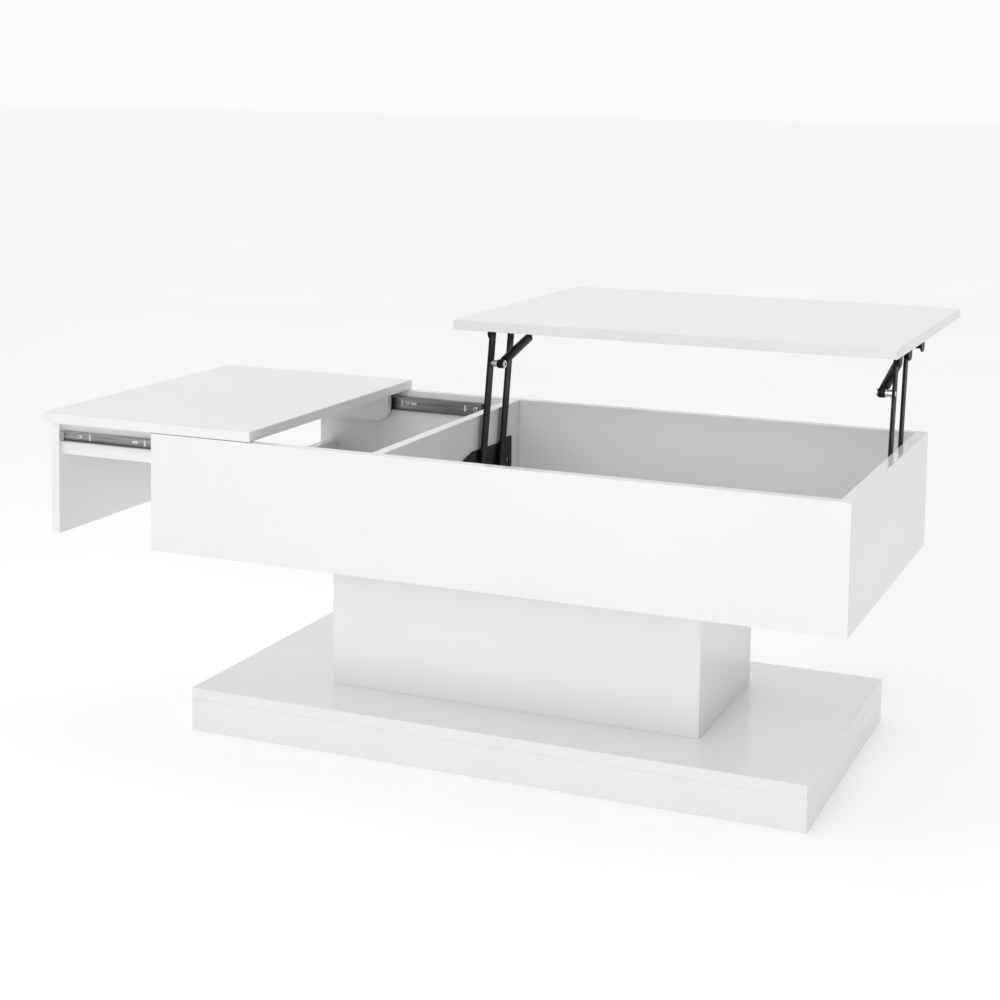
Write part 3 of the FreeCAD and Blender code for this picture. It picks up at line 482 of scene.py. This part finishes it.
@dataclass
class StrutBolt:
    """The strut's shoulder bolt along +Z: collar, shank through the eye, and a socket cap head."""

    head_radius: float
    collar_start: float
    length: float
    shank_radius: float = 4 * MM
    collar_radius: float = 6 * MM
    head_height: float = 3 * MM
    eye_room: float = 10.6 * MM
    ease: float = 0.5 * MM
    waist_share: float = 0.86
    crown_share: float = 0.72
    socket_share: float = 0.5
    socket_depth: float = 0.35
    facets: int = 36

    def build(self, mesh: bmesh.types.BMesh) -> None:
        """Add the bolt to a mesh.

        Args:
            mesh: the mesh that takes it.
        """
        ease = self.ease
        head_start = self.length - self.head_height
        collar_end = head_start - self.eye_room
        waist = self.collar_radius * self.waist_share
        mid = (self.collar_start + collar_end) / 2
        profile = [
            (0.0, 0.0), (self.shank_radius, 0.0), (self.shank_radius, self.collar_start),
            (self.collar_radius - ease, self.collar_start), (self.collar_radius, self.collar_start + ease),
            (self.collar_radius, mid - 3 * ease), (waist, mid - 2 * ease), (waist, mid + 2 * ease),
            (self.collar_radius, mid + 3 * ease),
            (self.collar_radius, collar_end - ease), (self.collar_radius - ease, collar_end),
            (self.shank_radius, collar_end), (self.shank_radius, head_start),
            (self.head_radius - ease, head_start), (self.head_radius, head_start + ease),
            (self.head_radius, self.length - 2 * ease), (self.head_radius - ease, self.length - ease),
            (self.head_radius * self.crown_share, self.length),
        ]
        socket = polygon(6, self.head_radius * self.socket_share, self.length)
        capped(mesh, profile, socket, self.head_radius * self.socket_depth, self.facets)


@dataclass
class CamLock:
    """A cam lock's round housing along +Z, its face at zero, with a rim and a cross recess."""

    radius: float
    depth: float
    rim: float = 1.1 * MM
    groove: float = 0.5 * MM
    ease: float = 0.2 * MM
    groove_share: float = 0.66
    slope_share: float = 0.62
    face_share: float = 0.56
    recess_span: float = 0.42
    recess_width: float = 0.11
    recess_depth: float = 1.6 * MM
    facets: int = 36

    def build(self, mesh: bmesh.types.BMesh) -> None:
        """Add the lock to a mesh.

        Args:
            mesh: the mesh that takes it.
        """
        inside = self.radius - self.rim
        profile = [(0.0, -self.depth), (self.radius, -self.depth), (self.radius, -self.ease),
                   (self.radius - self.ease, 0.0), (inside, 0.0), (inside - self.ease, -self.groove),
                   (self.radius * self.groove_share, -self.groove), (self.radius * self.slope_share, 0.0),
                   (self.radius * self.face_share, 0.0)]
        recess = cross(self.radius * self.recess_span, self.radius * self.recess_width, 0.0)
        capped(mesh, profile, recess, self.recess_depth, self.facets)


class Fasteners:
    """Screws, rivets, bolts and cam locks that take the place of the frame's plain ones."""

    def __init__(self, palette: Palette) -> None:
        """Keep the finishes, and the middle of the well that the lift mechanism faces."""
        self.palette = palette
        left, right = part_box("box_divider")[1].x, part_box("box_right")[0].x
        self.well_middle = (left + right) / 2

    def inward(self, spot: Vector) -> Side:
        """The way a fastener on the well's end walls faces.

        Args:
            spot: a point on the fastener.

        Returns:
            The side that faces the middle of the well.
        """
        return Side.RIGHT if spot.x < self.well_middle else Side.LEFT

    def seat(self, low: Vector, high: Vector, side: Side) -> Vector:
        """The middle of a box's face on one side.

        Args:
            low: the box's lowest corner.
            high: the box's highest corner.
            side: which face.

        Returns:
            The point.
        """
        middle = (low + high) / 2
        half = (high - low) / 2
        way = side.vector
        return middle + Vector([way[i] * half[i] for i in range(3)])

    def put(self, mesh: bmesh.types.BMesh, shape: object, spot: Vector, side: Side) -> None:
        """Add one shape at a spot, facing a side.

        Args:
            mesh: the mesh that takes it.
            shape: anything with a build method.
            spot: where its local origin goes.
            side: where its local +Z goes.
        """
        add_placed(mesh, shape, spot, side.vector)

    def head_side(self, spot: Vector, heads: Heads) -> Side:
        """The way one screw's head faces.

        Args:
            spot: a point on the screw.
            heads: where the node's heads look.

        Returns:
            The side.
        """
        if heads is Heads.INTO_WELL:
            return self.inward(spot)
        if heads is Heads.DOWN:
            return Side.DOWN
        at_back = spot.y > 0
        return Side.FRONT if at_back == (heads is Heads.INTO_BOX) else Side.BACK

    def screws(self, node: str, body: str, head_height: float, heads: Heads) -> None:
        """Replace a node of wood screws.

        Args:
            node: the CAD node.
            body: the body it rides on.
            head_height: the heads' height.
            heads: where the heads look.
        """
        mesh = bmesh.new()
        for low, high in islands(node):
            side = self.head_side(low, heads)
            head_wide, _, length = sorted(high - low)
            top = self.seat(low, high, side)
            screw = PanHeadScrew(head_wide / 2, head_height, head_wide * SHANK_SHARE, length - head_height)
            self.put(mesh, screw, top - side.vector * head_height, side)
        piece = finish_piece(node + "_fine", mesh, body, "plated_fasteners", self.palette)
        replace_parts(piece, node)

    def rivets(self, node: str, body: str) -> None:
        """Replace a node of pivot rivets.

        Args:
            node: the CAD node.
            body: the body it rides on.
        """
        mesh = bmesh.new()
        for low, high in islands(node):
            side = self.inward(low)
            foot = self.seat(low, high, Side.LEFT if side is Side.RIGHT else Side.RIGHT)
            rivet = RivetHead((high.y - low.y) / 2, high.x - low.x)
            self.put(mesh, rivet, foot, side)
        piece = finish_piece(node + "_fine", mesh, body, "black_powder_coat", self.palette)
        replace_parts(piece, node)

    def bolts(self) -> None:
        """Replace the strut bolts."""
        mesh = bmesh.new()
        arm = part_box("near_arm_left")
        thick = arm[1].x - arm[0].x
        for low, high in islands("strut_bolts"):
            side = self.inward(low)
            foot = self.seat(low, high, Side.LEFT if side is Side.RIGHT else Side.RIGHT)
            bolt = StrutBolt((high.y - low.y) / 2, thick, high.x - low.x)
            self.put(mesh, bolt, foot, side)
        piece = finish_piece("strut_bolts_fine", mesh, "near_arms", "plated_fasteners", self.palette)
        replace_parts(piece, "strut_bolts")

    def cams(self) -> None:
        """Replace the cam locks in the slide strips."""
        mesh = bmesh.new()
        for low, high in islands("cam_locks"):
            side = Side.FRONT if low.y > 0 else Side.BACK
            lock = CamLock((high.x - low.x) / 2, high.y - low.y)
            self.put(mesh, lock, self.seat(low, high, side), side)
        piece = finish_piece("cam_locks_fine", mesh, "sliding_top", "cam_zinc", self.palette)
        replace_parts(piece, "cam_locks")

    def build(self) -> None:
        """Replace them all."""
        self.screws("slide_outer_screws", "root", SLIDE_SCREW_HEAD, Heads.INTO_BOX)
        self.screws("slide_inner_screws", "sliding_top", SLIDE_SCREW_HEAD, Heads.OUT_OF_BOX)
        self.screws("lift_bracket_screws", "root", BRACKET_SCREW_HEAD, Heads.INTO_WELL)
        self.screws("lid_bracket_screws", "lid", BRACKET_SCREW_HEAD, Heads.DOWN)
        self.rivets("base_pivots", "root")
        self.rivets("lid_pivots", "lid")
        self.bolts()
        self.cams()


# ---------------------------------------------------------------------------------------------
# Gas struts
# ---------------------------------------------------------------------------------------------
@dataclass
class StrutEye:
    """The ring at a strut's end, along +Z, with eased rims and a hole through it."""

    radius: float
    hole_radius: float
    width: float
    ease: float = 0.7 * MM
    facets: int = 40

    def build(self, mesh: bmesh.types.BMesh) -> None:
        """Add the ring to a mesh.

        Args:
            mesh: the mesh that takes it.
        """
        half = self.width / 2
        outer, ease = self.radius, self.ease
        line = [(self.hole_radius, -half), (outer - ease, -half), (outer, -half + ease),
                (outer, half - ease), (outer - ease, half), (self.hole_radius, half)]
        turned(mesh, line + line[:1], self.facets)


@dataclass
class StrutTube:
    """A strut's cylinder along +Z from its bolt: neck, rounded shoulder, crimped guide, open end."""

    radius: float = 7.5 * MM
    neck_radius: float = 4.4 * MM
    neck_start: float = 6.9 * MM
    start: float = 12 * MM
    length: float = 127 * MM
    rod_hole: float = 3.8 * MM
    shoulder: float = 2.5 * MM
    crimp_from_end: float = 9 * MM
    crimp_width: float = 2.2 * MM
    crimp_depth: float = 0.6 * MM
    roll: float = 1.4 * MM
    well_depth: float = 2.5 * MM
    bends: int = 4
    facets: int = 40

    def build(self, mesh: bmesh.types.BMesh) -> None:
        """Add the cylinder to a mesh.

        Args:
            mesh: the mesh that takes it.
        """
        profile = [(0.0, self.neck_start), (self.neck_radius, self.neck_start),
                   (self.neck_radius, self.start)]
        profile += self.quarter(self.start, self.shoulder, rising=True)
        crimp = self.length - self.crimp_from_end
        waist = self.radius - self.crimp_depth
        profile += [(self.radius, crimp - self.crimp_width), (waist, crimp - self.crimp_width / 2),
                    (waist, crimp + self.crimp_width / 2), (self.radius, crimp + self.crimp_width)]
        profile += self.quarter(self.length, self.roll, rising=False)
        profile += [(self.rod_hole, self.length), (self.rod_hole, self.length - self.well_depth),
                    (0.0, self.length - self.well_depth)]
        turned(mesh, profile, self.facets)

    def quarter(self, height: float, bend: float, rising: bool) -> list[tuple[float, float]]:
        """A rounded corner between the cylinder's side and one of its ends.

        Args:
            height: the end's height.
            bend: the corner's radius.
            rising: true at the lower end, where the corner comes before the side.

        Returns:
            Points of radius and height, from low to high.
        """
        points = []
        for step in range(self.bends + 1):
            angle = step / self.bends * QUARTER_TURN
            out = self.radius - bend + bend * math.sin(angle)
            points.append((out, height + bend * (1 - math.cos(angle)) * (1 if rising else -1)))
        return points if rising else points[::-1]


@dataclass
class StrutRod:
    """A strut's rod along +Z from its bolt, from inside the cylinder to its end fitting."""

    radius: float
    start: float
    end: float
    facets: int = 32

    def build(self, mesh: bmesh.types.BMesh) -> None:
        """Add the rod to a mesh.

        Args:
            mesh: the mesh that takes it.
        """
        turned(mesh, [(0.0, self.start), (self.radius, self.start), (self.radius, self.end),
                      (0.0, self.end)], self.facets)


@dataclass
class Struts:
    """The two gas struts, in place of the frame's plain ones."""

    palette: Palette
    eye_radius: float = 7.5 * MM
    eye_width: float = 10 * MM
    pin_hole: float = 4.3 * MM
    stud_hole: float = 3.0 * MM
    rod_radius: float = 3.5 * MM
    rod_tail: float = 132 * MM
    ferrule_radius: float = 5.0 * MM
    ferrule_length: float = 9 * MM

    def build(self) -> None:
        """Build the left and the right strut from the places of its bolt and stud."""
        bolts, studs = islands("strut_bolts"), islands("strut_studs")
        for side, bolt, stud in zip(("left", "right"), bolts, studs):
            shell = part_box("strut_cylinder_" + side)
            low_pin, high_pin = sum(bolt, Vector()) / 2, sum(stud, Vector()) / 2
            low_pin.x = high_pin.x = (shell[0][0] + shell[1][0]) / 2
            self.one(side, low_pin, high_pin)

    def one(self, side: str, low_pin: Vector, high_pin: Vector) -> None:
        """Build one strut.

        Args:
            side: left or right.
            low_pin: the middle of its eye on the bolt.
            high_pin: the middle of its eye on the stud.
        """
        way = (high_pin - low_pin).normalized()
        reach = (high_pin - low_pin).length
        across = Side.RIGHT.vector
        mesh = bmesh.new()
        add_placed(mesh, StrutEye(self.eye_radius, self.pin_hole, self.eye_width), low_pin, across)
        add_placed(mesh, StrutTube(), low_pin, way)
        name = "strut_cylinder_" + side
        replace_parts(finish_piece(name + "_fine", mesh, "strut_cylinders", "black_powder_coat",
                                 self.palette), name)
        mesh = bmesh.new()
        end = reach - self.eye_radius
        add_placed(mesh, StrutRod(self.rod_radius, reach - self.rod_tail, end), low_pin, way)
        name = "strut_rod_" + side
        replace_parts(finish_piece(name + "_fine", mesh, "strut_rods", "polished_rod", self.palette), name)
        mesh = bmesh.new()
        add_placed(mesh, StrutEye(self.eye_radius, self.stud_hole, self.eye_width), high_pin, across)
        add_placed(mesh, StrutRod(self.ferrule_radius, end - self.ferrule_length, end), low_pin, way)
        finish_piece("strut_end_" + side, mesh, "strut_rods", "black_powder_coat", self.palette)


# ---------------------------------------------------------------------------------------------
# Studio
# ---------------------------------------------------------------------------------------------
@dataclass
class Studio:
    """Pale floor, soft light and the camera."""

    camera_at: tuple[float, float, float] = (1.0559, -2.7211, 1.0218)
    yaw: float = 0.3967
    pitch: float = -0.0904
    roll: float = 0.0139
    lens_mm: float = 66.97
    sensor_mm: float = 36.0
    shift_up: float = -0.2438
    floor_size: float = 120.0
    sky_bright: float = 0.955
    sky_dim: float = 0.115
    dim_right: float = 0.85
    dim_front: float = -1.1
    key_at: tuple[float, float, float] = (0.2, -3.6, 1.9)
    key_aim: tuple[float, float, float] = (0.0, 0.0, 0.35)
    key_size: float = 2.2
    key_power: float = 46.0
    floor_glow: float = 0.2

    def floor(self) -> None:
        """Lay a plain matt floor, faintly lit from below like a light table."""
        mesh = bmesh.new()
        bmesh.ops.create_grid(mesh, x_segments=1, y_segments=1, size=self.floor_size / 2)
        data = bpy.data.meshes.new("studio_floor")
        mesh.to_mesh(data)
        mesh.free()
        thing = bpy.data.objects.new("studio_floor", data)
        bpy.context.scene.collection.objects.link(thing)
        sheet = PAPER.material()
        shader = sheet.node_tree.nodes["Principled BSDF"]
        shader.inputs["Emission Color"].default_value = WHITE
        shader.inputs["Emission Strength"].default_value = self.floor_glow
        data.materials.append(sheet)

    def light(self) -> None:
        """Light the room softly: a pale world that is dimmer at the right and front, and a softbox."""
        world = bpy.data.worlds.new("studio_world")
        bpy.context.scene.world = world
        world.use_nodes = True
        tree = world.node_tree
        tree.nodes.clear()
        place = add_node(tree, "ShaderNodeTexCoord")
        dim_side = (self.dim_right, self.dim_front, 0.0)
        turned_away = add_node(tree, "ShaderNodeVectorMath", {0: place.outputs["Generated"], 1: dim_side},
                               operation="DOT_PRODUCT")
        level = add_node(tree, "ShaderNodeMapRange", {"Value": turned_away.outputs["Value"],
                                                      "From Min": 0.0, "From Max": 1.0,
                                                      "To Min": self.sky_bright, "To Max": self.sky_dim})
        sky = add_node(tree, "ShaderNodeBackground", {"Color": WHITE, "Strength": level.outputs["Result"]})
        add_node(tree, "ShaderNodeOutputWorld", {"Surface": sky.outputs["Background"]})
        self.softbox("key_softbox", self.key_at, self.key_aim, self.key_size, self.key_power)

    def softbox(self, name: str, at: tuple, aim: tuple, size: float, power: float) -> None:
        """Hang a square softbox.

        Args:
            name: the light's name.
            at: where it hangs.
            aim: the point it faces.
            size: its side.
            power: its power in watts.
        """
        lamp = bpy.data.lights.new(name, "AREA")
        lamp.size = size
        lamp.energy = power
        thing = bpy.data.objects.new(name, lamp)
        thing.location = at
        thing.rotation_euler = (Vector(aim) - Vector(at)).to_track_quat("-Z", "Y").to_euler()
        bpy.context.scene.collection.objects.link(thing)

    def camera(self) -> None:
        """Set the camera, with a level-looking view shifted down so that uprights stay upright."""
        forward = Vector((-math.sin(self.yaw) * math.cos(self.pitch),
                          math.cos(self.yaw) * math.cos(self.pitch), math.sin(self.pitch)))
        right = forward.cross(Vector((0, 0, 1))).normalized()
        above = right.cross(forward)
        turn, lean = math.cos(self.roll), math.sin(self.roll)
        right, above = turn * right + lean * above, -lean * right + turn * above
        lens = bpy.data.cameras.new("studio_camera")
        lens.lens = self.lens_mm
        lens.sensor_width = self.sensor_mm
        lens.shift_y = self.shift_up
        thing = bpy.data.objects.new("studio_camera", lens)
        axes = Matrix((right, above, -forward)).transposed().to_4x4()
        thing.matrix_world = Matrix.Translation(Vector(self.camera_at)) @ axes
        bpy.context.scene.collection.objects.link(thing)
        bpy.context.scene.camera = thing

    def build(self) -> None:
        """Set up the studio."""
        bpy.context.scene.view_settings.view_transform = "Standard"
        self.floor()
        self.light()
        self.camera()


def main() -> None:
    """Dress the frame, add the finer pieces and set up the studio."""
    logging.basicConfig(level=logging.INFO, format="%(name)s %(message)s")
    palette = Palette()
    palette.dress_frame()
    Fasteners(palette).build()
    Struts(palette).build()
    Studio().build()


if __name__ == "__main__":
    main()
